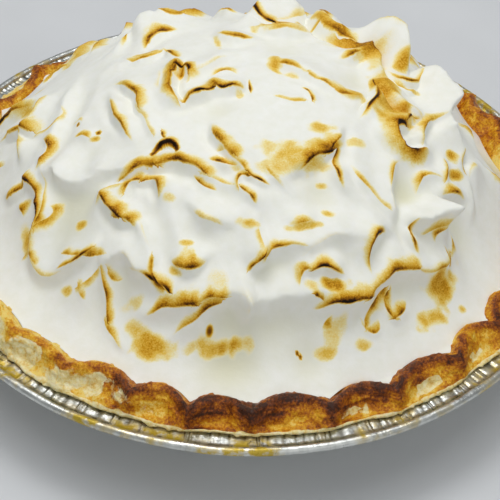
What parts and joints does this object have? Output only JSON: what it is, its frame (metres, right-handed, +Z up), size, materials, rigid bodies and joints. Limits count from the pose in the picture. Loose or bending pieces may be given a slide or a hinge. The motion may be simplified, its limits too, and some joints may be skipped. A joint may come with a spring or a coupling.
{
  "type": "lemon meringue pie",
  "caption": "Lemon meringue pie in its foil tin: a fluted baked pastry shell under a tall mound of spooned, browned meringue.",
  "frame": {"origin": "on the ground under the middle of the foil tin's flat bottom", "axes": "+Z up; +X to the right and +Y to the back, so the front of the pie faces -Y"},
  "size_m": [0.244, 0.244, 0.0955],
  "materials": {
    "foil": "bright thin pressed foil with baked-on stains",
    "pastry": "baked shortcrust, golden to mahogany brown, slightly glossy",
    "meringue": "soft white baked meringue, satin, toasted brown on its crests"
  },
  "bodies": {
    "root": {"foil_tin": "foil", "crust": "pastry", "meringue": "meringue"}
  },
  "joints": []
}
